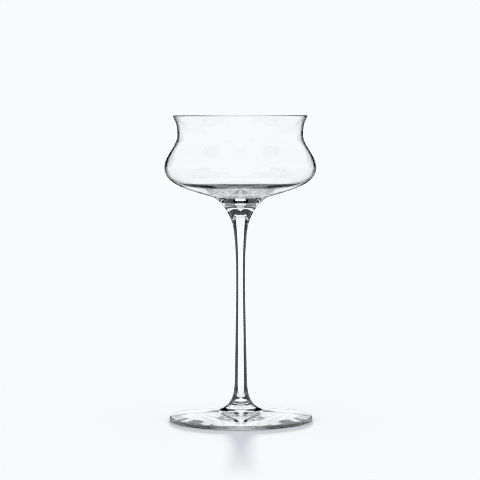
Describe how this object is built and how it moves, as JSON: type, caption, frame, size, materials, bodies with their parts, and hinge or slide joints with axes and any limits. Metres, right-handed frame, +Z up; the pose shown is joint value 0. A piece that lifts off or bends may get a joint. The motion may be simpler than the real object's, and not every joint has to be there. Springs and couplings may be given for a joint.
{
  "type": "cocktail coupe",
  "caption": "Clear crystal cocktail coupe: a thin blown bowl with a flared rim, drawn-in neck and full belly on a slim drawn stem and a disc foot, for serving drinks.",
  "frame": {"origin": "centre of the foot, on the plane that its standing ring rests on", "axes": "+Z up the stem's axis, towards the rim; the glass is round, so X and Y are any two directions at right angles"},
  "size_m": [0.0892, 0.0892, 0.18],
  "materials": {
    "clear_crystal": "fire-polished, clear"
  },
  "bodies": {
    "root": {"bowl": "clear_crystal", "stem": "clear_crystal", "foot": "clear_crystal"}
  },
  "joints": []
}
